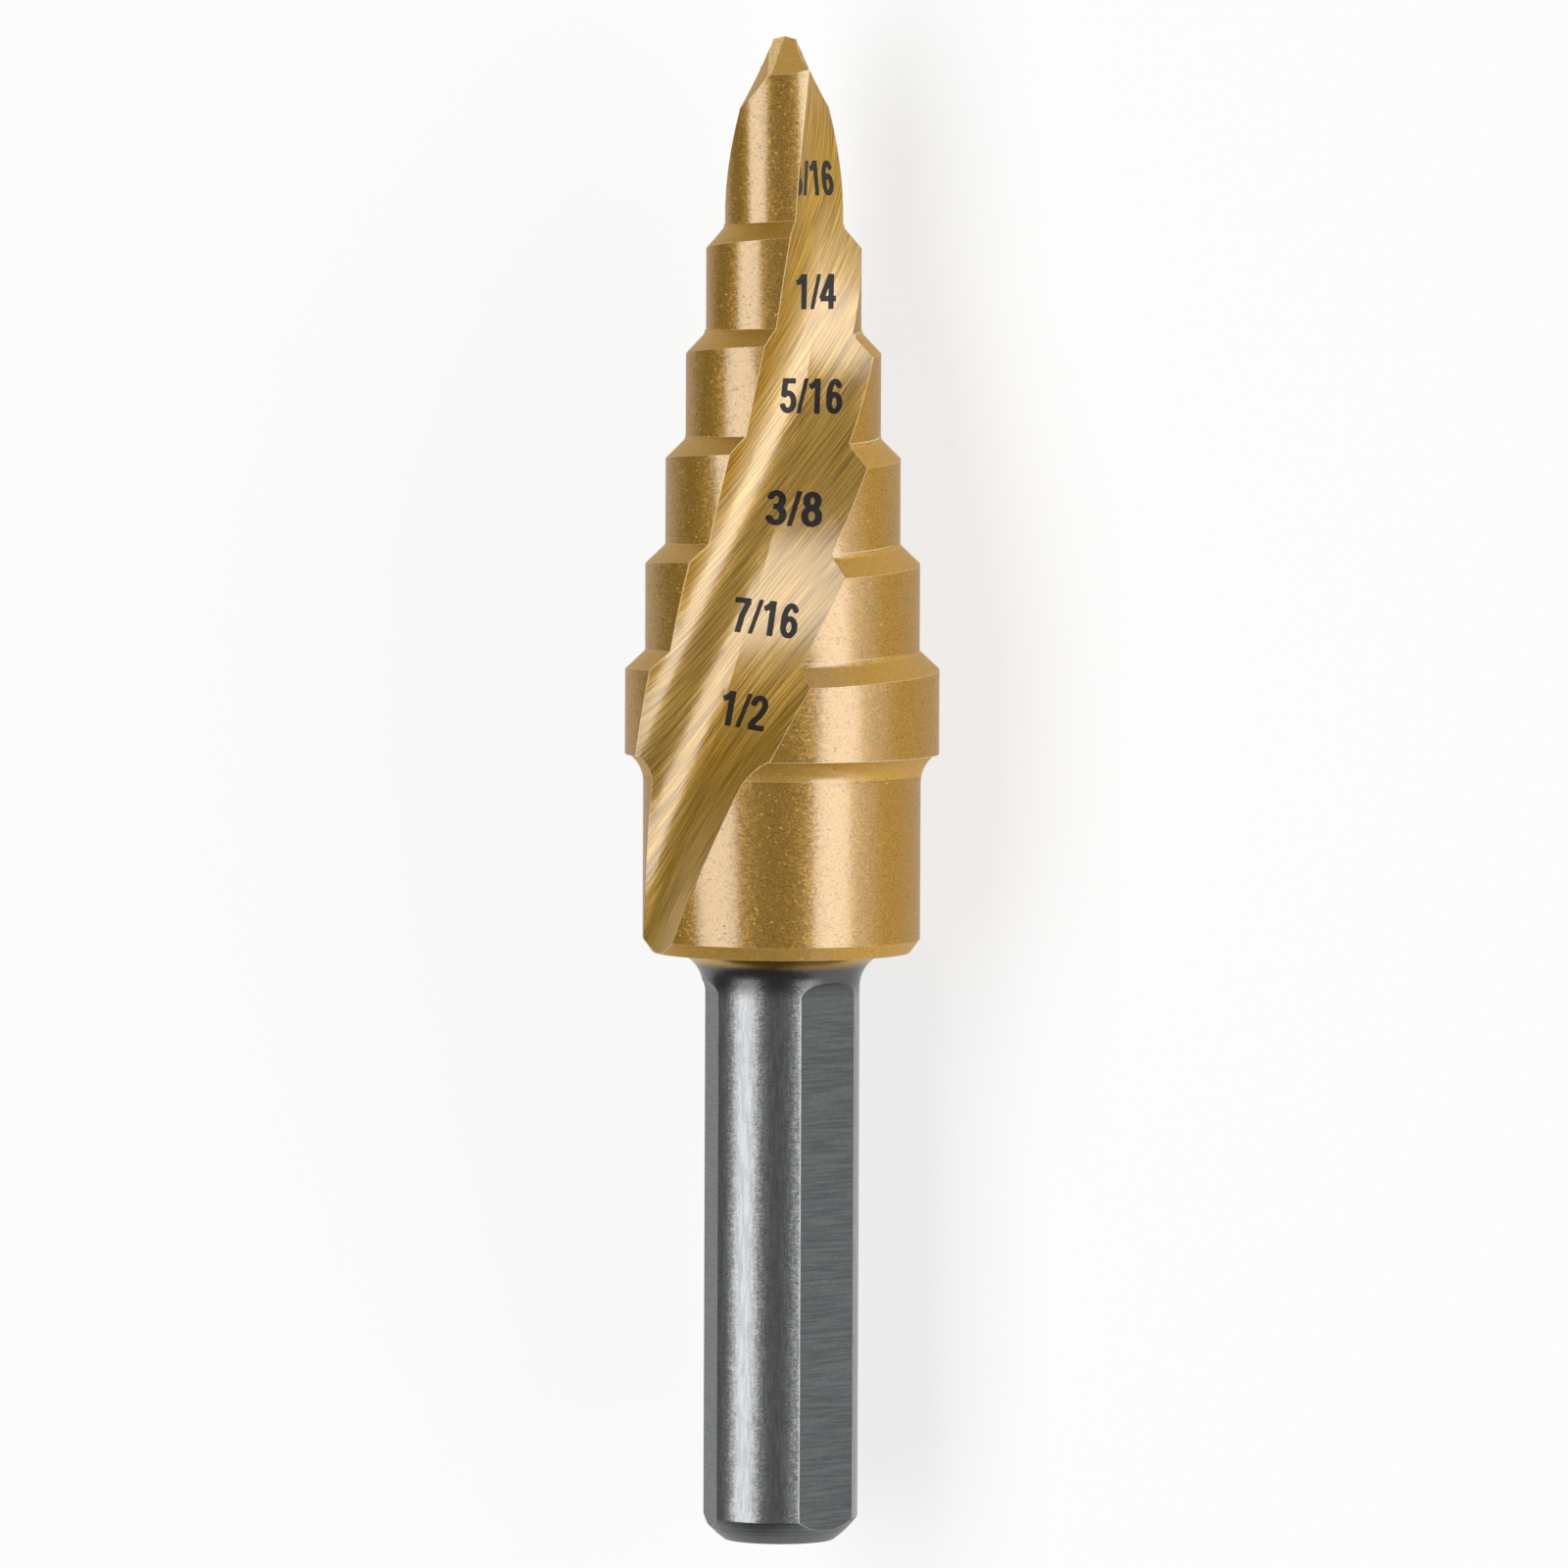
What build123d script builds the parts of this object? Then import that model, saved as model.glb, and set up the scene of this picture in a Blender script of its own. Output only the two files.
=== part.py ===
from build123d import *
from math import acos, asin, cos, degrees, radians, sin, tan
import os

# Step drill, one ground piece of steel, lying on its side as it comes to rest.
# It is shaped standing on its shank, point up, and laid down at the very end.
# All lengths are in millimetres and all angles in degrees.
# A direction round the drill is an angle from the side that ends up on top,
# positive anticlockwise as seen from the point.

# Overall
overall_length = 60.7
shank_diameter = 6.35
collar_face_height = 23.8

# Shank: round bar with three ground flats
shank_flats = 3
flat_depth = 0.33
flat_clocking = 71.9
flat_end_gap = 1.7
flat_runout_radius = 0.7
shank_chamfer = 0.95
shank_chamfer_crown = 4.0
neck_fillet = 1.38

# Collar: the plain round stretch behind the largest step, hollowed under that step's rim
collar_diameter = 11.2
collar_length = 8.0
collar_chamfer_across = 0.4
collar_chamfer_along = 0.55
hollow_slope = 62
rim_land = 0.15

# Steps: drilled diameters from the point backwards, and the height of each step's outer corner
# at its cutting edge. The first one is the pilot, whose corner the point angle gives.
pilot_diameter = 4.7625
step_diameters = [6.35, 7.9375, 9.525, 11.1125, 12.7]
largest_step_height = 3.53
step_pitch = 4.34
shoulder_angle = 45
shoulder_fillet = 0.3

# Relief ground behind each cutting edge; the middle of a land is that far round from a flute's floor
land_sweep = 110
land_middle = 80
axial_relief = 0.62
radial_relief = 0.05

# Two spiral flutes, deeper at the point than at the collar. The wheel's round edge leaves the
# cutting face and the floor, and its flat side leaves a wide, nearly flat slope behind them.
flutes = 2
flute_radius = 2.77
flute_side_slope = 5.4
web_at_point = 0.93
core_taper = 7.33
core_swell = 0.3
lead_at_point = 65.2
lead_at_collar = 123.0
flute_clocking = -8.5
flute_sections = 29
flute_overrun = 2.0
cutter_reach = 7.0

# Point: behind each lip a flank, a steeper heel that starts at the tip, and a back that
# clears the heel's outer corner and starts above the tip
point_angle = 118
lip_relief = 12
heel_relief = 33.2
heel_slope = 21.3
back_relief = 57.7
back_slope = 8.5
back_rise = 0.59

# Sizes that follow from those above
full_turn = 360
quarter_turn = full_turn / 4
shank_radius = shank_diameter / 2
flat_distance = shank_radius - flat_depth
collar_radius = collar_diameter / 2
pilot_radius = pilot_diameter / 2
largest_radius = step_diameters[-1] / 2
rim_height = collar_face_height + collar_length
rim_overhang = largest_radius - rim_land - collar_radius
hollow_height = rim_overhang * tan(radians(hollow_slope))
half_web = web_at_point / 2
small_overlap = 0.03
corner_heights = [
    rim_height + largest_step_height + step_pitch * count
    for count in reversed(range(len(step_diameters)))
]
clocking_height = rim_height + largest_step_height / 2
up = Vector(0, 0, 1)


def around(angle, radius=1.0, height=0.0):
    """Point at an angle round the drill: 0 is the side that ends up on top."""
    return Vector(radius * sin(radians(angle)), -radius * cos(radians(angle)), height)


def twist(height):
    """Turn of the flutes from the collar's face up to a height."""
    rise = height - collar_face_height
    fluted_length = overall_length - collar_face_height
    slow = full_turn / lead_at_collar
    fast = full_turn / lead_at_point
    return slow * rise + (fast - slow) * rise**2 / (2 * fluted_length)


def flute_angle(height):
    """Direction of the first flute's floor, which nearly faces up at the largest step."""
    return twist(height) - twist(clocking_height) + flute_clocking


def core_radius(height):
    """Distance from the drill's axis to the floor of a flute."""
    depth = overall_length - height
    share = depth / (overall_length - collar_face_height)
    return half_web + depth * tan(radians(core_taper)) + core_swell * 4 * share * (1 - share)


def flute_edge(height, radius):
    """Angle from a flute's floor to the cutting edge on a round of that radius."""
    centre = core_radius(height) + flute_radius
    return degrees(acos((radius**2 + centre**2 - flute_radius**2) / (2 * radius * centre)))


# Relieved half of one step
def step_land(diameter, smaller_diameter, corner_height, turn):
    """One land of a step: a slightly offset round, topped by a tilted shoulder cone."""
    radius = diameter / 2
    half_sweep = sin(radians(land_sweep / 2))
    offset = radial_relief / (2 * half_sweep)
    tilt = degrees(asin(axial_relief / (2 * half_sweep * radius)))
    middle = flute_angle(corner_height - step_pitch / 2) + turn - land_middle
    land_height = corner_height - axial_relief / 2
    skirt = land_height - rim_height + diameter
    inner = smaller_diameter / 2 - small_overlap
    shoulder = (radius - inner) / tan(radians(shoulder_angle))
    slope = (-sin(radians(shoulder_angle)), cos(radians(shoulder_angle)))
    fillet_reach = shoulder_fillet * tan(radians(shoulder_angle / 2))
    fillet_foot = (inner - slope[0] * fillet_reach, shoulder - slope[1] * fillet_reach)
    fillet_top = (inner, shoulder + fillet_reach)
    flare = skirt * tan(radians(shoulder_angle))
    tangent = around(middle + quarter_turn)
    lean = up * cos(radians(tilt)) - tangent * sin(radians(tilt))
    top = up * land_height
    profile_plane = Plane(origin=top, x_dir=around(middle), z_dir=around(middle).cross(lean))
    with BuildPart() as land:
        with Locations(tangent * offset + up * rim_height):
            Cylinder(
                radius - radial_relief / 2,
                corner_height - rim_height + diameter,
                align=(Align.CENTER, Align.CENTER, Align.MIN),
            )
        with BuildSketch(profile_plane):
            with BuildLine():
                Polyline(fillet_top, (0, fillet_top[1]), (0, -skirt), (radius + flare, -skirt), fillet_foot)
                TangentArc(fillet_foot, fillet_top, tangent=slope)
            make_face()
        revolve(axis=Axis(top, lean), mode=Mode.INTERSECT)
        split(bisect_by=Plane(origin=(0, 0, 0), z_dir=around(middle)), keep=Keep.TOP)
    return land.part


# Flute cutter
def flute_cutter(turn):
    """Wheel's path: its outline climbs, closes in on the axis and twists round it."""
    low = collar_face_height - flute_overrun
    high = overall_length + flute_overrun
    slope = (cos(radians(flute_side_slope)), sin(radians(flute_side_slope)))
    side_start = (flute_radius * slope[1], -flute_radius * slope[0])
    side_end = (side_start[0] + cutter_reach * slope[0], side_start[1] + cutter_reach * slope[1])
    with BuildPart() as cutter:
        for count in range(flute_sections):
            height = low + (high - low) * count / (flute_sections - 1)
            angle = flute_angle(height) + turn
            centre = around(angle, core_radius(height) + flute_radius, height)
            outline_plane = Plane(origin=centre, x_dir=around(angle + quarter_turn), z_dir=-up)
            with BuildSketch(outline_plane):
                with BuildLine():
                    CenterArc((0, 0), flute_radius, -full_turn / 2, quarter_turn + flute_side_slope)
                    Polyline(
                        side_start,
                        side_end,
                        (side_end[0], cutter_reach),
                        (-flute_radius, cutter_reach),
                        (-flute_radius, 0),
                    )
                make_face()
        loft()
    return cutter.part


lands = []
flute_turns = [full_turn * count / flutes for count in range(flutes)]
for turn in flute_turns:
    smaller = pilot_diameter
    for diameter, corner_height in zip(step_diameters, corner_heights):
        lands.append(step_land(diameter, smaller, corner_height, turn))
        smaller = diameter

cutters = [flute_cutter(turn) for turn in flute_turns]

# Point planes
lip_height = overall_length - pilot_radius / tan(radians(point_angle / 2))
lip_corner = flute_angle(lip_height) - flute_edge(lip_height, pilot_radius)
lip_angle = lip_corner - degrees(asin(half_web / pilot_radius))
lip_fall = 1 / tan(radians(point_angle / 2))
tip = up * overall_length

point_planes = []
for turn in flute_turns:
    along = around(lip_angle + turn)
    ahead = around(lip_angle + turn + quarter_turn)
    flank = along * lip_fall - ahead * tan(radians(lip_relief)) + up
    heel = along * tan(radians(heel_slope)) - ahead * tan(radians(heel_relief)) + up
    back = along * tan(radians(back_slope)) - ahead * tan(radians(back_relief)) + up
    point_planes.append(Plane(origin=tip, z_dir=flank))
    point_planes.append(Plane(origin=tip, z_dir=heel))
    point_planes.append(Plane(origin=tip + up * back_rise, z_dir=back))

with BuildPart() as upright:
    # Shank, neck, collar and the hollow behind the largest step, turned in one
    with BuildSketch(Plane.XZ) as turned:
        with BuildLine():
            end_rim = (shank_radius - shank_chamfer, 0)
            shank_foot = (shank_radius, shank_chamfer)
            neck_foot = (shank_radius, collar_face_height - neck_fillet)
            neck_top = (shank_radius + neck_fillet, collar_face_height)
            hollow_foot = (collar_radius, rim_height - hollow_height)
            hollow_top = (largest_radius - rim_land, rim_height)
            Polyline((0, rim_height), (0, 0), end_rim)
            RadiusArc(end_rim, shank_foot, -shank_chamfer_crown)
            Line(shank_foot, neck_foot)
            RadiusArc(neck_foot, neck_top, neck_fillet)
            Polyline(
                neck_top,
                (collar_radius - collar_chamfer_across, collar_face_height),
                (collar_radius, collar_face_height + collar_chamfer_along),
                hollow_foot,
            )
            TangentArc(hollow_foot, hollow_top, tangent=(0, 1))
            Line(hollow_top, (0, rim_height))
        make_face()
    revolve(axis=Axis.Z)

    # Pilot, a plain round up to the point
    with Locations((0, 0, rim_height)):
        Cylinder(
            pilot_radius,
            overall_length - rim_height,
            align=(Align.CENTER, Align.CENTER, Align.MIN),
        )

    # Steps
    add(lands)

    # Flutes
    add(cutters, mode=Mode.SUBTRACT)

    # Point
    for plane in point_planes:
        split(bisect_by=plane, keep=Keep.BOTTOM)

    # Shank flats, each ending in the hollow that the edge of its grinding wheel leaves
    flat_top = collar_face_height - flat_end_gap
    for count in range(shank_flats):
        outward = around(flat_clocking + full_turn * count / shank_flats)
        sideways = around(flat_clocking + full_turn * count / shank_flats + quarter_turn)
        with BuildSketch(Plane(origin=(0, 0, 0), x_dir=outward, z_dir=-sideways)):
            with BuildLine():
                runout = (flat_distance + flat_runout_radius, flat_top + flat_runout_radius)
                Polyline(
                    (flat_distance, flat_top),
                    (flat_distance, -shank_chamfer),
                    (shank_diameter, -shank_chamfer),
                    (shank_diameter, flat_top + flat_runout_radius),
                    runout,
                )
                TangentArc((flat_distance, flat_top), runout, tangent=(0, 1))
            make_face()
        extrude(amount=shank_radius, both=True, mode=Mode.SUBTRACT)

# Laid on its side: the point along +Y, the origin under the middle on the floor
rest_height = max([collar_radius] + [vertex.Y for vertex in upright.part.vertices()])
with BuildPart() as step_drill:
    with Locations((0, -overall_length / 2, rest_height)):
        add(upright.part, rotation=(-90, 0, 0))
print("axis height at rest", rest_height)

os.makedirs("parts", exist_ok=True)
step_drill.part.label = "step_drill"
export_step(step_drill.part, "parts/step_drill.step")
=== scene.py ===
# %% [markdown]
# A step drill drills six hole sizes with one tool. It is turned from one bar of steel, its two
# flutes and its stepped cutting edges are ground, and its head gets a thin gold coating of
# titanium nitride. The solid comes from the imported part, so this script gives every ground
# surface its own finish, prints the size numbers in the flute, and sets up the studio.

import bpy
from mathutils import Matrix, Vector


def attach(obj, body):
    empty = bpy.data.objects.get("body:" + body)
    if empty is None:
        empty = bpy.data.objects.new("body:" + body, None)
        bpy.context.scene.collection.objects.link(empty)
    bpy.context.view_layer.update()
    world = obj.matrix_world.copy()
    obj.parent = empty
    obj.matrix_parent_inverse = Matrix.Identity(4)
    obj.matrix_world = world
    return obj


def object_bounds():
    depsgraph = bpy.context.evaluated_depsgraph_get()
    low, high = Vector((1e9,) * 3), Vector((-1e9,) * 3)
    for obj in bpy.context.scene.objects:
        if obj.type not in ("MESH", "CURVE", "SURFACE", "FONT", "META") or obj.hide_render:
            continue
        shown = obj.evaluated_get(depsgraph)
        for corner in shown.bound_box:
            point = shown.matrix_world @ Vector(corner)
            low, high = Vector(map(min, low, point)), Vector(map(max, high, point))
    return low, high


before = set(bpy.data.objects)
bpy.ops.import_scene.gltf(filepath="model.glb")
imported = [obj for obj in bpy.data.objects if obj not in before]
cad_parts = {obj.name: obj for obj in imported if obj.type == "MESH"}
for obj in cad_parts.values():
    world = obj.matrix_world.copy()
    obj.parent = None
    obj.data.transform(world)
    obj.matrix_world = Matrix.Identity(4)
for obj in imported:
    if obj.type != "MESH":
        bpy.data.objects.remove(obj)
cad_low, cad_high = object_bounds()
print("solid reaches from", tuple(cad_low), "to", tuple(cad_high))

# %% Tools used below
from math import atan2, cos, pi, radians, sin, tan

import bpy
import numpy
from mathutils import Matrix, Vector
from mathutils.bvhtree import BVHTree

mm = 0.001

# %% [markdown]
# Everything on the drill is placed from its own axis, as it was in the lathe. The height of the
# axis above the floor could be written down as a number, but the shank's end face is a disc whose
# middle gives it, so it is measured there and follows the solid. Heights along the drill are then
# measured from that end, and directions round it from straight up.

# %% The drill's own axis
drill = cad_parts["step_drill"]
shank_end = cad_low.y
end_slice = 0.02 * mm
quarter_turn, half_turn, full_turn = 90, 180, 360
end_corners = [v.co for v in drill.data.vertices if v.co.y < shank_end + end_slice]
axis_height = (max(c.z for c in end_corners) + min(c.z for c in end_corners)) / 2
drill_length = cad_high.y - cad_low.y
print("axis height", axis_height / mm, "mm, length", drill_length / mm, "mm")


def on_axis(height):
    """Point on the drill's axis at a height above the shank's end."""
    return Vector((0, shank_end + height, axis_height))


def outward(angle):
    """Direction away from the axis: 0 degrees is straight up, 90 is towards +X."""
    return Vector((sin(radians(angle)), 0, cos(radians(angle))))


# %% [markdown]
# The flutes were ground by a wheel with a round edge and a flat side, whose path climbs, twists
# and closes in on the axis. Its round edge left the cutting face and the floor of the flute, and
# its flat side the wide slope behind them. The faces that it ground could be followed from one to
# the next, as long as they join smoothly. But the same few sizes that shaped the solid also say
# where that surface lies, so each face can be tested by itself.

# %% Sizes of the flutes and of the shank
collar_face = 23.8 * mm
rim_height = 31.8 * mm
largest_step_height = 3.53 * mm
flute_radius = 2.77 * mm
side_slope = radians(5.4)
web_at_point = 0.93 * mm
core_taper = 7.33
core_swell = 0.3 * mm
lead_at_point = 65.2 * mm
lead_at_collar = 123.0 * mm
flute_clocking = -8.5
flute_turns = (0, half_turn)
shank_diameter = 6.35 * mm
shank_chamfer = 0.95 * mm
shank_flats = 3
flat_depth = 0.33 * mm
flat_clocking = 71.9
flat_end_gap = 1.7 * mm
flat_runout_radius = 0.7 * mm

fluted_length = drill_length - collar_face
flat_distance = shank_diameter / 2 - flat_depth
flat_top = collar_face - flat_end_gap
flat_directions = [flat_clocking + full_turn * count / shank_flats for count in range(shank_flats)]
slow_twist = full_turn / lead_at_collar
fast_twist = full_turn / lead_at_point
twist_growth = (fast_twist - slow_twist) / (2 * fluted_length)
clocking_rise = rim_height + largest_step_height / 2 - collar_face
clocking_twist = slow_twist * clocking_rise + twist_growth * clocking_rise**2 - flute_clocking


def flute_angle(height):
    """Direction of the first flute's floor at a height along the drill."""
    rise = height - collar_face
    return slow_twist * rise + twist_growth * rise**2 - clocking_twist


def flute_frame(height, turn):
    """Middle of the round of a flute at a height, the way out from there, and the way across."""
    depth = drill_length - height
    share = depth / fluted_length
    # the swell is nothing at both ends of the flute and whole halfway, where the shares multiply to 1/4
    swell = core_swell * 4 * share * (1 - share)
    core = web_at_point / 2 + depth * tan(radians(core_taper)) + swell
    out = outward(flute_angle(height) + turn)
    across = outward(flute_angle(height) + turn + quarter_turn)
    return on_axis(height) + out * (core + flute_radius), out, across


def above_flute(place, turn):
    """How far a place is outside the metal of a flute, and the surface's normal near it."""
    centre, out, across = flute_frame(place.y - shank_end, turn)
    x, y = (place - centre).dot(across), (place - centre).dot(out)
    if atan2(x, -y) < side_slope:
        return flute_radius - Vector((x, y)).length, (centre - place).normalized()
    normal = across * -sin(side_slope) + out * cos(side_slope)
    return (place - centre).dot(normal) + flute_radius, normal


print("flute floor turns", flute_angle(drill_length) - flute_angle(collar_face), "degrees")

# %% [markdown]
# Each kind of surface was made by another operation, and shows it. The faces of the solid are
# sorted by where they lie and where they look: in a flute, on a flat of the shank or the hollow
# it ends in, on the round or the end of the bare shank, on a sloped shoulder or the flank of the
# point, on the heel behind that flank, and the turned rounds that are left. The heel and the
# shoulders also get a lighter gold, which is painted light. They could be picked one by one, but a
# rule for each kind still holds when the solid is cut up differently.

# %% Sort the faces of the solid
ALL_KINDS = range(7)
TURNED, FLUTE, SHOULDER, HEEL, SHANK, FLAT, END = ALL_KINDS
point_length = 2.2 * mm
tolerance = 0.05 * mm
# how much a face's normal shares with a direction: 1 is the same way and 0 is square to it
same_way = 0.99
like_the_flute = 0.8
square_to_it = 0.03
round_leans_along = 0.2
heel_leans_along = (0.76, 0.82)


def kind_of_shank_face(face, height, away):
    """Flat, end or round of the shank."""
    if face.normal.y < -round_leans_along and height < shank_chamfer:
        return END
    for direction in flat_directions:
        depth = away.dot(outward(direction)) - flat_distance
        if abs(depth) < tolerance and face.normal.dot(outward(direction)) > same_way:
            return FLAT
        hollow = Vector((depth - flat_runout_radius, height - flat_top)).length - flat_runout_radius
        looks_along = abs(face.normal.dot(outward(direction + quarter_turn))) < square_to_it
        if height > flat_top and abs(hollow) < tolerance and looks_along:
            return FLAT
    return SHANK


def kind_of_face(face):
    """Which operation left this face of the drill."""
    height = face.center.y - shank_end
    away = Vector((face.center.x, 0, face.center.z - axis_height))
    if height < collar_face - tolerance:
        return kind_of_shank_face(face, height, away)
    for turn in flute_turns:
        gap, normal = above_flute(face.center, turn)
        if abs(gap) < tolerance and face.normal.dot(normal) > like_the_flute:
            return FLUTE
    if height > drill_length - point_length and heel_leans_along[0] < face.normal.y < heel_leans_along[1]:
        return HEEL
    return TURNED if abs(face.normal.y) < round_leans_along else SHOULDER


kinds = [kind_of_face(face) for face in drill.data.polygons]
print("faces of each kind:", [kinds.count(kind) for kind in ALL_KINDS])

# %% [markdown]
# A finish is a handful of patterns mixed together. Its nodes could be added one by one, but it
# reads best as arithmetic. One small class wraps a shader socket, and adding or multiplying two
# of them adds the Math node that does it. Another holds the material and has one method for
# every other kind of node.

# %% Arithmetic on shader values


class Shade:
    """A value that changes over the surface. Arithmetic on it adds Math nodes."""

    def __init__(self, finish, socket):
        self.finish = finish
        self.socket = socket

    def maths(self, operation, first, second=0.0):
        return self.finish.node("ShaderNodeMath", {"operation": operation}, {0: first, 1: second})

    def __add__(self, other):
        return self.maths("ADD", self, other)

    def __radd__(self, other):
        return self.maths("ADD", other, self)

    def __sub__(self, other):
        return self.maths("SUBTRACT", self, other)

    def __rsub__(self, other):
        return self.maths("SUBTRACT", other, self)

    def __mul__(self, other):
        return self.maths("MULTIPLY", self, other)

    def __rmul__(self, other):
        return self.maths("MULTIPLY", other, self)

    def __truediv__(self, other):
        return self.maths("DIVIDE", self, other)

    def __rtruediv__(self, other):
        return self.maths("DIVIDE", other, self)


class Finish:
    """A material whose patterns are nodes."""

    def __init__(self, name, **constants):
        self.material = bpy.data.materials.new(name)
        self.material.use_nodes = True
        self.tree = self.material.node_tree
        self.shader = self.tree.nodes["Principled BSDF"]
        for socket, value in constants.items():
            self.shader.inputs[socket.replace("_", " ")].default_value = value

    def node(self, kind, settings, inputs, output=0):
        """Adds a node, sets it up, and gives back one of its outputs."""
        made = self.tree.nodes.new(kind)
        for name, value in settings.items():
            setattr(made, name, value)
        for name, value in inputs.items():
            if isinstance(value, Shade):
                self.tree.links.new(value.socket, made.inputs[name])
            else:
                made.inputs[name].default_value = value
        return Shade(self, made.outputs[output])

    def drive(self, socket, value):
        """Lets a pattern drive one socket of the shader."""
        self.tree.links.new(value.socket, self.shader.inputs[socket])


# %% [markdown]
# A pattern needs places to be laid out on. An unwrapped map would tear along the edges of the
# steps, so all patterns use the drill's own millimetres: a height along the axis and two places
# across it. The grinding lines then keep their spacing on every step, and no line depends on how
# the surface was cut into triangles.

# %% Places on the drill, for the shader
# the Mix node has sockets for every type of data, and these are its numbers for colours
mix_share, mix_first, mix_second, mix_result = 0, 6, 7, 2
noise_middle = 0.5


def drill_places(finish):
    """Place across the drill, height along it and lift above its axis, in millimetres."""
    place = {"Vector": finish.node("ShaderNodeTexCoord", {}, {}, "Object")}
    across = finish.node("ShaderNodeSeparateXYZ", {}, place, "X") / mm
    height = (finish.node("ShaderNodeSeparateXYZ", {}, place, "Y") - shank_end) / mm
    lift = (finish.node("ShaderNodeSeparateXYZ", {}, place, "Z") - axis_height) / mm
    return across, height, lift


def join(finish, places):
    """Three values as one place."""
    inputs = {"X": places[0], "Y": places[1], "Z": places[2]}
    return finish.node("ShaderNodeCombineXYZ", {}, inputs)


def mix_colours(finish, share, first, second):
    """Colour between two colours, by a share from 0 to 1."""
    settings = {"data_type": "RGBA"}
    inputs = {mix_share: share, mix_first: first, mix_second: second}
    return finish.node("ShaderNodeMix", settings, inputs, mix_result)


def rise_between(finish, value, low, high):
    """A smooth rise from 0 at low to 1 at high."""
    settings = {"interpolation_type": "SMOOTHSTEP"}
    inputs = {"Value": value, "From Min": low, "From Max": high}
    return finish.node("ShaderNodeMapRange", settings, inputs)


def noise(finish, places, scale, detail=2.0):
    """Soft noise round its middle; scale is lumps for each millimetre."""
    inputs = {"Vector": join(finish, places), "Scale": scale, "Detail": detail}
    return finish.node("ShaderNodeTexNoise", {}, inputs)


def vector_maths(finish, operation, first, second=(0, 0, 0), output=0):
    """One Vector Math node."""
    inputs = {0: first, 1: second}
    return finish.node("ShaderNodeVectorMath", {"operation": operation}, inputs, output)


# %% [markdown]
# Two things catch light on ground steel. Each grain of the surface leans a little its own way,
# which Voronoi cells with a random lean show as sparkle. And every cutting edge has a tiny
# rounding, which the Bevel node finds: where its normal turns away from the surface's own, there
# is an edge, and a pale colour there is a painted highlight, on hollow edges as on sharp ones.
# Rounding the edges of the solid instead would cost many faces for something a tenth of a
# millimetre wide.

# %% Grains that lean, and a painted highlight along the edges
edge_radius = 0.08 * mm
bevel_samples = 8
# how far the normals must part before an edge gets its painted highlight
painted_highlight_turn = (0.04, 0.11)


def leaning_grains(finish, normal, places, scale, lean_most, bright_share, bright_lean):
    """Normal with a random lean for each grain, and a much larger one for a few of them."""
    cell = {"Vector": join(finish, places), "Scale": scale}
    colours = finish.node("ShaderNodeTexVoronoi", {}, cell, "Color")
    centred = vector_maths(finish, "SUBTRACT", colours, (noise_middle, noise_middle, noise_middle))
    pick = finish.node("ShaderNodeTexWhiteNoise", {}, {"Vector": colours}, "Value")
    few = finish.node("ShaderNodeMath", {"operation": "LESS_THAN"}, {0: pick, 1: bright_share})
    lean = 2 * lean_most + few * (2 * bright_lean)
    stretched = finish.node("ShaderNodeVectorMath", {"operation": "SCALE"}, {0: centred, "Scale": lean})
    return vector_maths(finish, "NORMALIZE", vector_maths(finish, "ADD", normal, stretched))


def edges_with_painted_highlight(finish):
    """Normal rounded at the edges, and the share of painted highlight: 1 along sharp edges, 0 elsewhere.
    """
    rounded = finish.node("ShaderNodeBevel", {"samples": bevel_samples}, {"Radius": edge_radius})
    plain = finish.node("ShaderNodeNewGeometry", {}, {}, "Normal")
    alike = vector_maths(finish, "DOT_PRODUCT", rounded, plain, "Value")
    return rounded, rise_between(finish, 1 - alike, *painted_highlight_turn)


def carve(finish, relief, normal):
    """Bump from a relief in millimetres, on top of a normal."""
    inputs = {"Height": relief, "Distance": mm, "Strength": 1.0, "Normal": normal}
    finish.drive("Normal", finish.node("ShaderNodeBump", {}, inputs))


# %% [markdown]
# The coated head: titanium nitride is a hard ceramic film with the colour of old gold. It mirrors
# a bright lamp nearly white, and shows its own colour beside it. A plain gold metal would tint
# the highlight too, so the metal itself is rough and deep in colour, and a coat over it gives the
# pale highlight. The turned rounds have a fine grain and faint rings from the lathe. The sloped
# shoulders are ground smooth and look satin, and their lighter gold is a painted sheen. The heels
# at the point get a lighter gold still, a painted highlight.

# %% Gold coating on the turned rounds and the shoulders
gold = (0.45, 0.246, 0.027, 1)
# painted highlight: pale gold laid along the edges
painted_highlight_gold = (0.93, 0.76, 0.45, 1)
deep_gold = (0.29, 0.147, 0.014, 1)
# painted sheen: a lighter gold for the shoulders and the heels
painted_sheen_gold = (0.60, 0.345, 0.062, 1)
# painted highlight: the lightest gold, on the heels at the point
painted_highlight_heel_gold = (0.92, 0.68, 0.30, 1)
dull_gold = (0.45, 0.25, 0.036, 1)
coating = {"Coat_IOR": 1.95, "Coat_Roughness": 0.2}
gloss_fades = (0.14, 0.36)
gold_metallic = 0.6
edge_metallic_loss = 0.75
grain_per_mm = 15.0
grain_tones = (0.35, 0.62)
grain_roughness = 0.16
grain_depth = 0.003
rings_per_mm = 14.0
ring_stretch = 0.12
cells_per_mm = 14.0
cell_stretch = 0.8


def gloss_and_painted_edge_highlight(finish, edges):
    """Pale gloss where the metal is seen straight on, and less metal along the edges, whose painted
    highlight then shows from any side.
    """
    slant = finish.node("ShaderNodeLayerWeight", {}, {"Blend": 0.5}, "Facing")
    finish.drive("Coat Weight", 1 - rise_between(finish, slant, *gloss_fades))
    finish.drive("Metallic", gold_metallic * (1 - edge_metallic_loss * edges))


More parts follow.
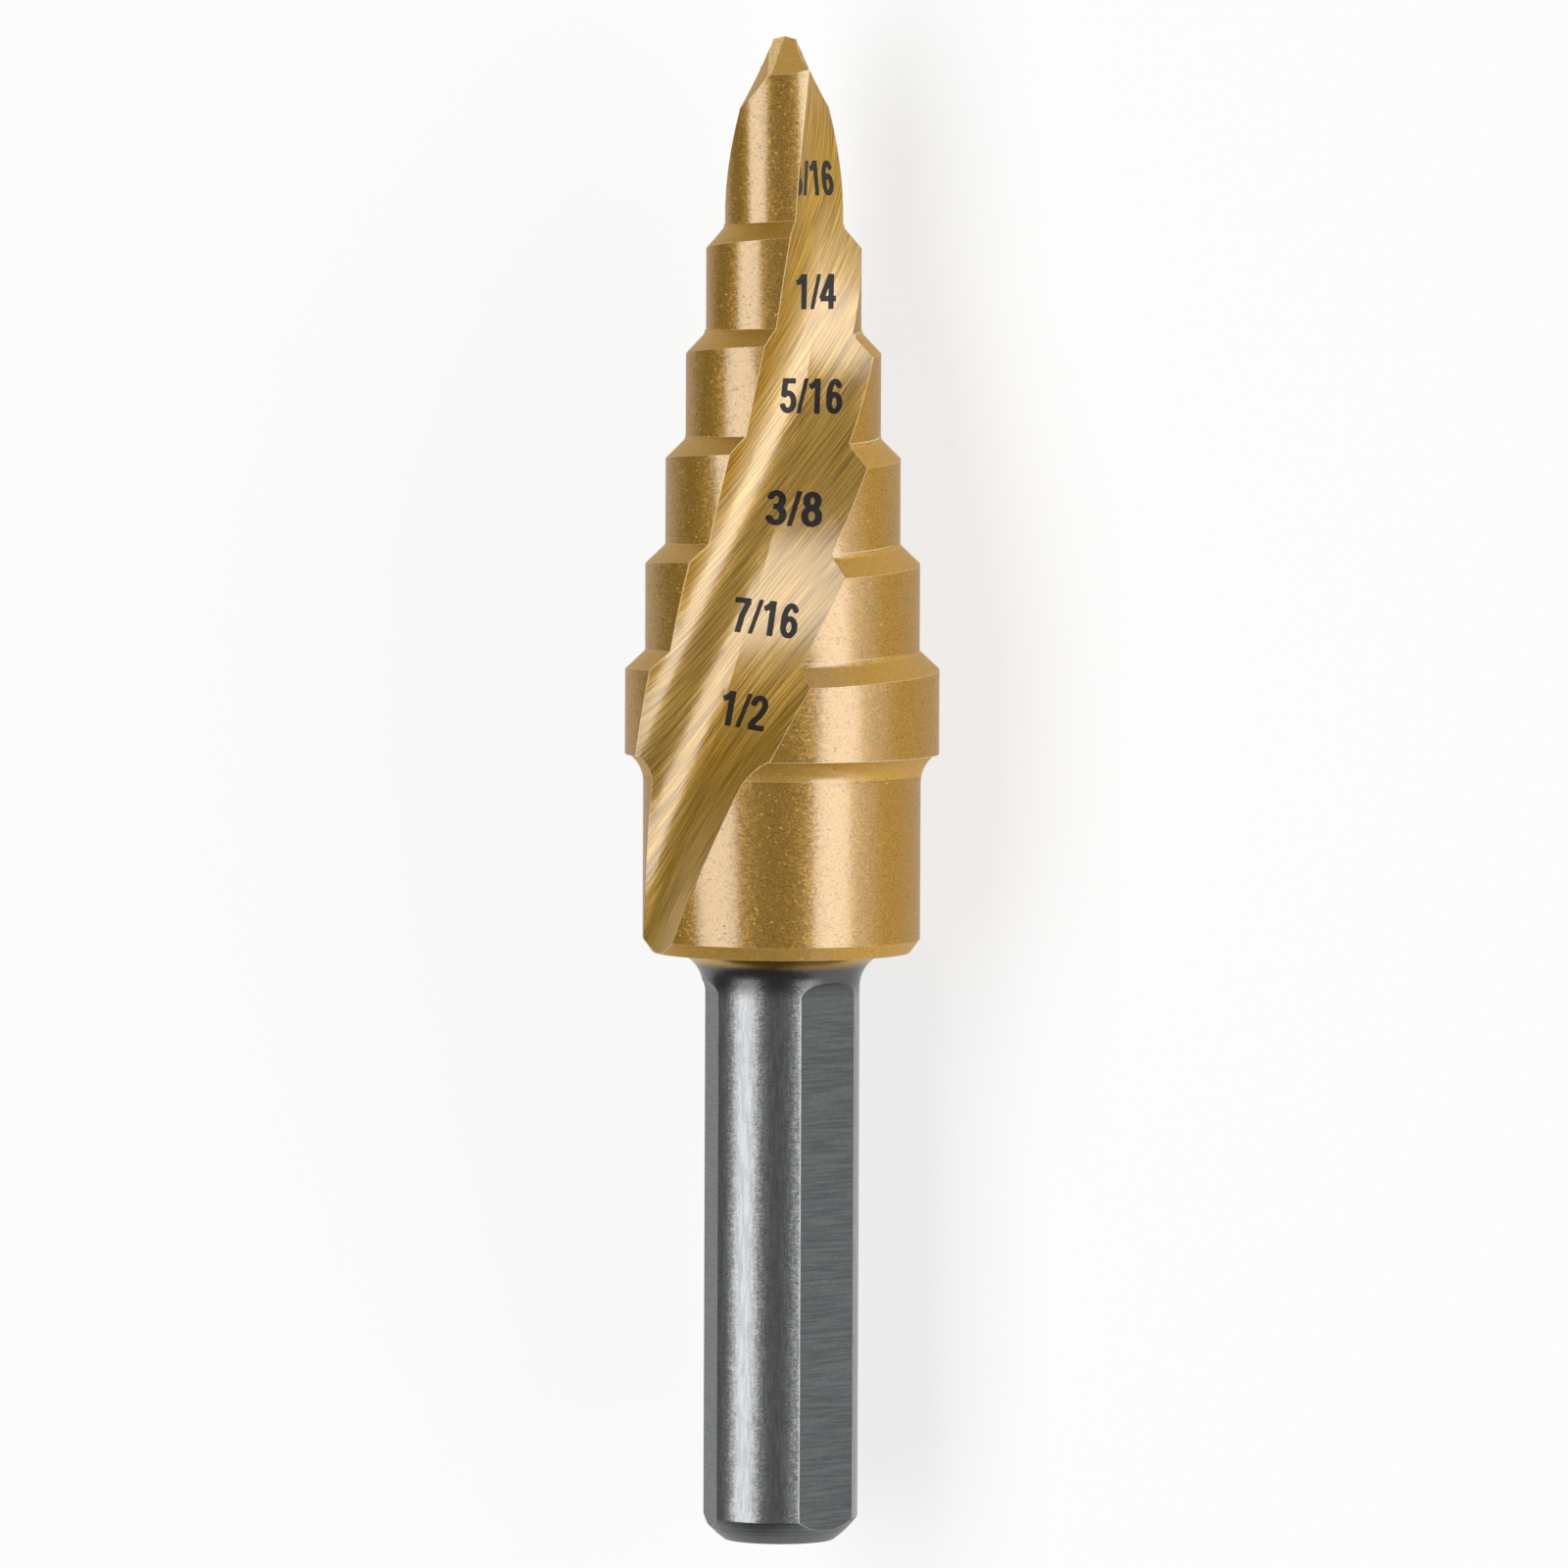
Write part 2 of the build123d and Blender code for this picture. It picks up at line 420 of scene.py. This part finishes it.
def coated(name, tones, roughness, grain_lean, bright_share, ring_depth):
    """Gold coating over a grained surface with fine rings round the drill."""
    finish = Finish(name, **coating)
    across, height, lift = drill_places(finish)
    grain = noise(finish, (across, height, lift), grain_per_mm, detail=3.0)
    rings = noise(finish, (across * ring_stretch, height, lift * ring_stretch), rings_per_mm)
    rounded, edges = edges_with_painted_highlight(finish)
    tone = mix_colours(finish, rise_between(finish, grain, *grain_tones), *tones)
    # painted highlight: the edges take the pale gold
    finish.drive("Base Color", mix_colours(finish, edges, tone, painted_highlight_gold))
    gloss_and_painted_edge_highlight(finish, edges)
    finish.drive("Roughness", roughness + grain_roughness * (grain - noise_middle))
    cells = (across * cell_stretch, height, lift * cell_stretch)
    leaning = leaning_grains(
        finish, rounded, cells, cells_per_mm, grain_lean, bright_share, bright_lean=0.3
    )
    carve(finish, rings * ring_depth + grain * grain_depth, leaning)
    return finish.material


turned_gold = coated(
    "gold_turned",
    (deep_gold, gold),
    roughness=0.40,
    grain_lean=0.085,
    bright_share=0.08,
    ring_depth=0.002,
)
# the shoulders' lighter gold is a painted sheen
shoulder_gold = coated(
    "gold_shoulder",
    (dull_gold, painted_sheen_gold),
    roughness=0.5,
    grain_lean=0.03,
    bright_share=0.02,
    ring_depth=0.002,
)
# the heels' gold is lighter still, a painted highlight
heel_gold = coated(
    "gold_heel",
    (painted_sheen_gold, painted_highlight_heel_gold),
    roughness=0.45,
    grain_lean=0.03,
    bright_share=0.02,
    ring_depth=0.006,
)
print("made", turned_gold.name, shoulder_gold.name, "and", heel_gold.name)

# %% [markdown]
# In the flutes the grinding wheel left fine parallel lines, slanted against the flute. Cut into
# the mesh they would need millions of faces, so they are long thin noise in the flute's own
# frame, which turns with it. The second flute is the first one turned half round, so the side is
# counted the other way there.

# %% Gold coating in the flutes
line_dark = (0.31, 0.165, 0.016, 1)
line_light = (0.57, 0.34, 0.05, 1)
line_tones = (0.38, 0.62)
line_slant = 62
line_spacing = 0.055
line_stretch = 0.02
line_depth = 0.011
waves_per_mm = 0.9
wave_stretch = 0.04
wave_depth = 0.12
flute_grain_per_mm = 10.0
flute_grain_depth = 0.002
flute_roughness = 0.43
flute_grain_roughness = 0.1
flute_cells_per_mm = 16.0


def fluted_gold():
    """Gold coating over the slanted lines of the grinding wheel."""
    finish = Finish("gold_flute", **coating | {"Coat_Roughness": 0.22})
    across, height, lift = drill_places(finish)
    rise = height - collar_face / mm
    turn = radians(slow_twist * mm) * rise + radians(twist_growth * mm**2) * (rise * rise)
    angle = radians(clocking_twist) - turn
    inputs = {"Vector": join(finish, (across, 0.0, lift)), "Angle": angle}
    turned = {"Vector": finish.node("ShaderNodeVectorRotate", {"rotation_type": "Y_AXIS"}, inputs)}
    deep = finish.node("ShaderNodeSeparateXYZ", {}, turned, "Z")
    which = finish.node("ShaderNodeMath", {"operation": "SIGN"}, {0: deep})
    side = finish.node("ShaderNodeSeparateXYZ", {}, turned, "X") * which
    along = height * sin(radians(line_slant)) + side * cos(radians(line_slant))
    beside = height * cos(radians(line_slant)) - side * sin(radians(line_slant))
    lines = noise(finish, (beside, along * line_stretch, 0.0), 1 / line_spacing, detail=1.0)
    waves = noise(finish, (beside, along * wave_stretch, 0.0), waves_per_mm)
    grain = noise(finish, (across, height, lift), flute_grain_per_mm, detail=3.0)
    rounded, edges = edges_with_painted_highlight(finish)
    tone = mix_colours(finish, rise_between(finish, lines, *line_tones), line_dark, line_light)
    # painted highlight: the edges take the pale gold
    finish.drive("Base Color", mix_colours(finish, edges, tone, painted_highlight_gold))
    gloss_and_painted_edge_highlight(finish, edges)
    finish.drive("Roughness", flute_roughness + flute_grain_roughness * (grain - noise_middle))
    leaning = leaning_grains(
        finish,
        rounded,
        (across, height, lift),
        flute_cells_per_mm,
        lean_most=0.02,
        bright_share=0.01,
        bright_lean=0.1,
    )
    carve(finish, lines * line_depth + waves * wave_depth + grain * flute_grain_depth, leaning)
    return finish.material


flute_gold = fluted_gold()
print("made", flute_gold.name, "with lines every", line_spacing, "mm")

# %% [markdown]
# The shank stays bare for the chuck: fine-ground grey steel, smooth on the round and with lines
# across it on its three flats, whose darker tones are painted shade. The coating fades out in the
# neck fillet above it, next to a darker band of steel that is painted shade. One function makes
# all three finishes, because they differ only in their tones and in the way the lines run. The
# band and the edge of the coating are two rises along the height, frayed by the grain.

# %% Bare steel of the shank
steel = (0.32, 0.325, 0.33, 1)
dark_steel = (0.24, 0.245, 0.25, 1)
# painted shade: the flats are far darker steel than the round
painted_shade_flat_grey = (0.125, 0.13, 0.132, 1)
painted_shade_dark_flat = (0.085, 0.09, 0.092, 1)
end_grey = (0.16, 0.165, 0.17, 1)
dark_end = (0.11, 0.115, 0.12, 1)
# painted highlight: light steel laid along the edges
painted_highlight_steel = (0.75, 0.75, 0.75, 1)
# painted shade: a dark band of steel in the neck, below the coating
painted_shade_steel = (0.10, 0.10, 0.10, 1)
painted_shade_rises = (21.9, 22.7)
painted_shade_fray = 0.2
coating_rises = (23.2, 23.6)
coating_fray = 0.3
painted_highlight_share = 0.8
steel_lines_per_mm = 9.0
steel_line_tones = (0.3, 0.7)
steel_grain_per_mm = 11.0
steel_grain_roughness = 0.14
steel_grain_depth = 0.002
steel_cells_per_mm = 14.0
steel_cell_stretch = 0.7


def bare_steel(name, tones, metallic, roughness, pattern, line_depth, grain_lean):
    """Grey steel with fine lines, and gold above the neck.

    The pattern squeezes the noise of the lines across the drill, along it and away from its axis.
    """
    finish = Finish(name, Metallic=metallic)
    across, height, lift = drill_places(finish)
    spread = finish.node("ShaderNodeMath", {"operation": "SQRT"}, {0: across * across + lift * lift})
    places = [across * pattern[0], height * pattern[1], lift * pattern[0] + spread * pattern[2]]
    lines = noise(finish, places, steel_lines_per_mm)
    grain = noise(finish, (across, height, lift), steel_grain_per_mm, detail=3.0)
    rounded, edges = edges_with_painted_highlight(finish)
    tone = mix_colours(finish, rise_between(finish, lines, *steel_line_tones), *tones)
    # painted highlight along the edges of the steel
    tone = mix_colours(finish, edges * painted_highlight_share, tone, painted_highlight_steel)
    # painted shade darkens the steel in the neck
    painted_neck_shade = rise_between(finish, height + painted_shade_fray * (grain - noise_middle), *painted_shade_rises)
    tone = mix_colours(finish, painted_neck_shade, tone, painted_shade_steel)
    coat = rise_between(finish, height + coating_fray * (grain - noise_middle), *coating_rises)
    finish.drive("Base Color", mix_colours(finish, coat, tone, gold))
    finish.drive("Roughness", roughness + steel_grain_roughness * (grain - noise_middle))
    cells = (across * steel_cell_stretch, height, lift * steel_cell_stretch)
    leaning = leaning_grains(
        finish, rounded, cells, steel_cells_per_mm, grain_lean, bright_share=0.0, bright_lean=0.0
    )
    carve(finish, lines * line_depth + grain * steel_grain_depth, leaning)
    return finish.material


shank_steel = bare_steel(
    "steel_round",
    (dark_steel, steel),
    metallic=0.92,
    roughness=0.30,
    pattern=(1.0, 0.12, 0.0),
    line_depth=0.001,
    grain_lean=0.03,
)
# the flats' darker tones are painted shade
flat_steel = bare_steel(
    "steel_flat",
    (painted_shade_dark_flat, painted_shade_flat_grey),
    metallic=1.0,
    roughness=0.42,
    pattern=(0.05, 1.0, 0.0),
    line_depth=0.003,
    grain_lean=0.06,
)
end_steel = bare_steel(
    "steel_end",
    (dark_end, end_grey),
    metallic=1.0,
    roughness=0.40,
    pattern=(0.0, 0.0, 1.0),
    line_depth=0.004,
    grain_lean=0.03,
)
print("made", shank_steel.name, "and", flat_steel.name, "and", end_steel.name)

# %% [markdown]
# The solid is one ground piece and stays as it is. A material has a slot on it for each kind of
# surface, in the order of the kinds, and every face is told which slot it takes.

# %% Finishes on the faces of the drill
drill.data.materials.clear()
for material in (turned_gold, flute_gold, shoulder_gold, heel_gold, shank_steel, flat_steel, end_steel):
    drill.data.materials.append(material)
for face, kind in zip(drill.data.polygons, kinds):
    face.material_index = kind
print("materials on the drill:", [m.name for m in drill.data.materials])

# %% [markdown]
# The sizes that the drill cuts are marked in the flute, one beside each step, in plain heavy
# figures. They are nearly black, a little blotchy and half matt. They could be painted into the
# gold, but a number that is a thin piece of its own keeps a sharp outline from close by.

# %% Black ink of the numbers
ink_black = (0.006, 0.005, 0.006, 1)
ink_brown = (0.02, 0.017, 0.015, 1)
mottle_per_mm = 7.0
mottle_depth = 0.004
ink_roughness = 0.45
mottle_roughness = 0.3
ink = Finish("number_ink", Metallic=0.0, Specular_IOR_Level=0.3)
mottle = noise(ink, drill_places(ink), mottle_per_mm, detail=3.0)
ink.drive("Base Color", mix_colours(ink, mottle, ink_black, ink_brown))
ink.drive("Roughness", ink_roughness + mottle_roughness * (mottle - noise_middle))
ink_relief = {"Height": mottle * mottle_depth, "Distance": mm, "Strength": 1.0}
ink.drive("Normal", ink.node("ShaderNodeBump", {}, ink_relief))
print("made", ink.material.name)

# %% [markdown]
# A font could give the figures, but its letters carry somebody's design. So they are drawn here
# with a pen: every figure is a few strokes, and the ink is where the pen has passed. The pen is
# wider than it is tall, so upright strokes come out heavier, as in the plain figures of a ruler.
# All sizes of a figure are shares of its height.

# %% Strokes of the figures
bow_steps = 24


def bow(middle, size, start, end):
    """Points along part of an oval, from one angle to another."""
    angles = [radians(start + (end - start) * count / bow_steps) for count in range(bow_steps + 1)]
    return [(middle[0] + size[0] * cos(a), middle[1] + size[1] * sin(a)) for a in angles]


strokes = {
    "1": [[(0.44, -0.1), (0.44, 1.1)], [(0.10, 0.76), (0.22, 0.79), (0.34, 0.87), (0.44, 1.0)]],
    "2": [
        bow((0.375, 0.70), (0.225, 0.225), 175, -25) + [(0.45, 0.42), (0.25, 0.25), (0.155, 0.10)],
        [(0.07, 0.075), (0.70, 0.075)],
    ],
    "3": [
        bow((0.365, 0.725), (0.20, 0.20), 165, -80),
        bow((0.365, 0.305), (0.235, 0.23), 85, -165),
        [(0.28, 0.535), (0.38, 0.535)],
    ],
    "4": [[(0.52, -0.1), (0.52, 1.1)], [(0.03, 0.30), (0.74, 0.30)], [(0.08, 0.30), (0.50, 0.99)]],
    "5": [
        [(0.15, 0.925), (0.66, 0.925)],
        [(0.235, 0.98), (0.175, 0.48)],
        bow((0.36, 0.325), (0.24, 0.25), 140, -165),
    ],
    "6": [
        bow((0.385, 0.315), (0.225, 0.24), 0, 360),
        bow((0.40, 0.50), (0.245, 0.425), 40, 200),
    ],
    "7": [[(0.07, 0.925), (0.70, 0.925)], [(0.62, 0.90), (0.42, 0.50), (0.30, -0.1)]],
    "8": [
        bow((0.38, 0.735), (0.19, 0.19), 0, 360),
        bow((0.38, 0.30), (0.23, 0.225), 0, 360),
    ],
    "/": [[(0.02, -0.1), (0.37, 1.1)]],
}
print("strokes drawn for", "".join(strokes))

# %% Ink where the pen has passed
pen_half = numpy.array((0.115, 0.078))
slash_pen_half = numpy.array((0.08, 0.08))
digit_room = 0.777
slash_room = 0.388
half_height = 0.5


def past_pen(places, stroke, pen):
    """How far places are outside one stroke, negative inside it, in widths of the pen."""
    points = [numpy.array(point) / pen for point in stroke]
    outside = numpy.full(places.shape[:-1], numpy.inf)
    for start, end in zip(points, points[1:]):
        length = numpy.linalg.norm(end - start)
        way = (end - start) / length
        along = (places / pen - start) @ way
        beside = abs((places / pen - start) @ numpy.array((-way[1], way[0])))
        outside = numpy.minimum(outside, numpy.maximum(beside - 1, abs(along - length / 2) - length / 2))
    for corner in points[1:-1]:
        outside = numpy.minimum(outside, numpy.linalg.norm(places / pen - corner, axis=-1) - 1)
    return outside


def past_ink(places, text):
    """How far places are outside the ink of a number, negative inside it."""
    outside = numpy.full(places.shape[:-1], numpy.inf)
    start = 0.0
    for figure in text:
        pen = slash_pen_half if figure == "/" else pen_half
        for stroke in strokes[figure]:
            moved = [(x + start, y) for x, y in stroke]
            outside = numpy.minimum(outside, past_pen(places, moved, pen))
        start += slash_room if figure == "/" else digit_room
    above_or_below = (abs(places[..., 1] - half_height) - half_height) / pen_half[1]
    return numpy.maximum(outside, above_or_below)


print("an upright stroke is", 2 * pen_half[0], "of a figure's height wide")

# %% [markdown]
# The ink becomes a mesh by laying a fine grid over it: each cell that is all ink becomes a small
# square, and a cell that the outline crosses is cut where the ink ends. A single outline would
# have fewer faces, but it couldn't bend, and small cells can follow the curved metal.

# %% Flat mesh of the ink
grid_step = 0.024
cells_before = 1.5
spare_cells = 4
# the outline crosses a cell's side no nearer to its corners than this share of it
least_cut = 0.05


def ink_cells(text):
    """Flat mesh of a number's ink: its points, and its cells as loops of points."""
    columns = int(digit_room * len(text) / grid_step) + spare_cells
    rows = int(1 / grid_step) + spare_cells
    grid = numpy.stack(numpy.mgrid[0:columns, 0:rows], axis=-1) * grid_step - grid_step * cells_before
    outside = past_ink(grid, text)
    points, names, cells = [], {}, []

    def point(name, place):
        if name not in names:
            names[name] = len(points)
            points.append(tuple(place))
        return names[name]

    for column in range(columns - 1):
        for row in range(rows - 1):
            corners = [(column, row), (column + 1, row), (column + 1, row + 1), (column, row + 1)]
            if all(outside[corner] > 0 for corner in corners):
                continue
            cell = []
            for here, there in zip(corners, corners[1:] + corners[:1]):
                if outside[here] <= 0:
                    cell.append(point(here, grid[here]))
                if (outside[here] <= 0) != (outside[there] <= 0):
                    share = outside[here] / (outside[here] - outside[there])
                    share = min(max(share, least_cut), 1 - least_cut)
                    crossing = grid[here] + (grid[there] - grid[here]) * share
                    cell.append(point(tuple(sorted((here, there))), crossing))
            cells.append(cell)
    return numpy.array(points), cells


print("the number 1/2 has", len(ink_cells("1/2")[1]), "cells of ink")

# %% [markdown]
# The numbers were marked from one side, and look level and even from there. So every point of a
# number goes straight down from that side until it meets the flute, which stretches the figures
# where the metal slopes away, and what would miss the flute isn't marked. Bending the flat
# figures along the flute instead would make them lean and spread when seen from that side. The
# ink then gets a little thickness, most of it inside the metal, so no gap shows under its edge.

# %% Sizes and places of the numbers
digit_height = 1.40 * mm
ink_above = 0.014 * mm
ink_below = 0.03 * mm
marking_side = 30.7
marking_reach = 10 * mm
# what it says, then in millimetres the height of its middle, its middle's place beside the axis and
# its width, then in degrees how far its line turns and its figures lean clockwise
numbers = [
    ("3/16", 55.02, 1.11, 1.68, 1, -5),
    ("1/4", 50.48, 1.29, 1.61, 0, 1),
    ("5/16", 46.32, 1.12, 2.50, 1, 2),
    ("3/8", 41.84, 0.45, 2.27, 2, 3),
    ("7/16", 37.48, -0.67, 2.60, 5, 8),
    ("1/2", 33.78, -1.53, 1.84, 6, 10),
]
steel_surface = BVHTree.FromPolygons(
    [v.co for v in drill.data.vertices], [p.vertices for p in drill.data.polygons]
)


def marked_spot(height, side):
    """Where the marking meets the flute and the way out there, or None beside the flute."""
    away = outward(marking_side) * marking_reach
    start = on_axis(height) + outward(marking_side + quarter_turn) * side + away
    spot, normal, face, _ = steel_surface.ray_cast(start, -away.normalized())
    return (spot, normal) if spot and kinds[face] == FLUTE else None


# %% Numbers laid on the flute


def wrap_number(text, height, side, width, turn, lean):
    """One number, as a thin piece that lies on the flute."""
    points, cells = ink_cells(text)
    low, high = points.min(axis=0), points.max(axis=0)
    places = (points - (low + high) / 2) * (width, digit_height) / (high - low)
    across, upward = (cos(radians(turn)), -sin(radians(turn))), (sin(radians(lean)), cos(radians(lean)))
    places = places @ numpy.array((across, upward))
    spots = [marked_spot(height + y, side + x) for x, y in places]
    cells = [cell for cell in cells if all(spots[corner] for corner in cell)]
    used = sorted({corner for cell in cells for corner in cell})
    order = {corner: count for count, corner in enumerate(used)}
    cells = [[order[corner] for corner in cell] for cell in cells]
    upper = [spots[corner][0] + spots[corner][1] * ink_above for corner in used]
    lower = [spots[corner][0] - spots[corner][1] * ink_below for corner in used]
    edges = {(a, b) for cell in cells for a, b in zip(cell, cell[1:] + cell[:1])}
    walls = [(b, a, a + len(used), b + len(used)) for a, b in sorted(edges) if (b, a) not in edges]
    floors = [[len(used) + corner for corner in reversed(cell)] for cell in cells]
    mesh = bpy.data.meshes.new("number_" + text.replace("/", "_"))
    mesh.from_pydata(upper + lower, [], cells + floors + walls)
    piece = bpy.data.objects.new(mesh.name, mesh)
    bpy.context.scene.collection.objects.link(piece)
    piece.data.materials.append(ink.material)
    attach(piece, "root")
    return piece


for text, height, side, width, turn, lean in numbers:
    piece = wrap_number(text, height * mm, side * mm, width * mm, turn, lean)
    print(piece.name, "has", len(piece.data.polygons), "faces")

# %% [markdown]
# The camera of the photograph looked at the drill nearly square to its axis, from a little
# beyond its point, with a long lens. Here the drill lies with its marked side up, so the camera
# looks down on it. It could be set by eye, but its aim and lens are worked out from the scale of
# the photograph, so both pictures can be laid on top of each other. Pixels are the photograph's.

# %% Camera
photo_side = 1600
pixels_per_mm = 25.35
shank_end_pixel = 1575
axis_off_middle_pixels = 2.2
camera_distance = 580 * mm
camera_height = 67.5 * mm
view_turn = marking_side
camera_roll = 0.23
sensor = 36

photo_scale = pixels_per_mm / mm
aim_height = (shank_end_pixel - photo_side / 2) / photo_scale
shift_right = axis_off_middle_pixels / photo_scale
to_camera = outward(view_turn)
to_right = outward(view_turn + quarter_turn)
camera_spot = on_axis(camera_height) + to_camera * camera_distance
aim = on_axis(aim_height) + to_right * shift_right
lens = bpy.data.cameras.new("photo_camera")
lens.sensor_width = sensor
lens.lens = camera_distance * photo_scale * sensor / photo_side
camera = bpy.data.objects.new("photo_camera", lens)
bpy.context.scene.collection.objects.link(camera)
along = Vector((0, 1, 0))
looks = (camera_spot - aim).normalized()
top = (Matrix.Rotation(radians(camera_roll), 3, looks) @ along).normalized()
right = top.cross(looks).normalized()
top = looks.cross(right)
camera.matrix_world = Matrix.Translation(camera_spot) @ Matrix((right, top, looks)).transposed().to_4x4()
bpy.context.scene.camera = camera
print("camera at", tuple(camera_spot), "with a lens of", lens.lens, "mm")

# %% [markdown]
# Polished metal shows the lamps themselves, so their shape matters more than their number. Round
# or point lamps would leave spots. Two long soft boxes beside the drill make the two bright bands
# along every round of it. They stand well away, so the floor is lit evenly too.

# %% Lamps
lamp_distance = 1200 * mm
lamp_length = 2.0
world_grey = (0.1, 0.1, 0.1, 1)


def strip_lamp(name, angle, spread, strength):
    """Long lamp beside the drill, as wide as spread degrees seen from it."""
    width = 2 * lamp_distance * tan(radians(spread / 2))
    lamp = bpy.data.lights.new(name, "AREA")
    lamp.shape = "RECTANGLE"
    lamp.size = width
    lamp.size_y = lamp_length
    lamp.energy = strength * pi * width * lamp_length
    placed = bpy.data.objects.new(name, lamp)
    away = outward(view_turn + angle)
    facing = Matrix((along.cross(away), along, away)).transposed().to_4x4()
    placed.matrix_world = Matrix.Translation(on_axis(drill_length / 2) + away * lamp_distance) @ facing
    placed.visible_camera = False
    bpy.context.scene.collection.objects.link(placed)
    print(name, "is", round(width, 3), "m wide and gives", round(lamp.energy, 1), "W")


strip_lamp("left_softbox", angle=-54, spread=36, strength=2.8)
strip_lamp("right_softbox", angle=43, spread=32, strength=3.3)

world = bpy.data.worlds.new("studio")
world.use_nodes = True
world.node_tree.nodes["Background"].inputs["Color"].default_value = world_grey
bpy.context.scene.world = world

# %% [markdown]
# The drill lies on a white floor. A floor lit by the lamps alone comes out grey at its far ends,
# and brighter lamps would bleach the drill. So most of its white is a glow that only the camera
# and the mirroring metal see, and the rest is lit paint, which keeps the drill's soft shadow.

# %% White floor
floor_reach = 12.0
floor_white = (0.95, 0.95, 0.95, 1)
floor_glow = 0.75
black, white = (0, 0, 0, 1), (1, 1, 1, 1)
seen_rays = ("Is Camera Ray", "Is Glossy Ray", "Is Transmission Ray")
floor_corners = [(x * floor_reach, y * floor_reach, 0) for x, y in ((-1, -1), (1, -1), (1, 1), (-1, 1))]
floor_mesh = bpy.data.meshes.new("floor")
floor_mesh.from_pydata(floor_corners, [], [(0, 1, 2, 3)])
floor = bpy.data.objects.new("floor", floor_mesh)
bpy.context.scene.collection.objects.link(floor)
floor_paint = Finish("floor_paint", Roughness=0.8, Emission_Strength=1.0)
rays = [floor_paint.node("ShaderNodeLightPath", {}, {}, name) for name in seen_rays]
glow = floor_glow * (rays[0] + rays[1] + rays[2])
floor_paint.drive("Base Color", mix_colours(floor_paint, glow, floor_white, black))
floor_paint.drive("Emission Color", mix_colours(floor_paint, glow, black, white))
floor.data.materials.append(floor_paint.material)
bpy.context.scene.view_settings.view_transform = "Standard"
print("floor glows", floor_glow, "of its white for", len(rays), "kinds of ray")
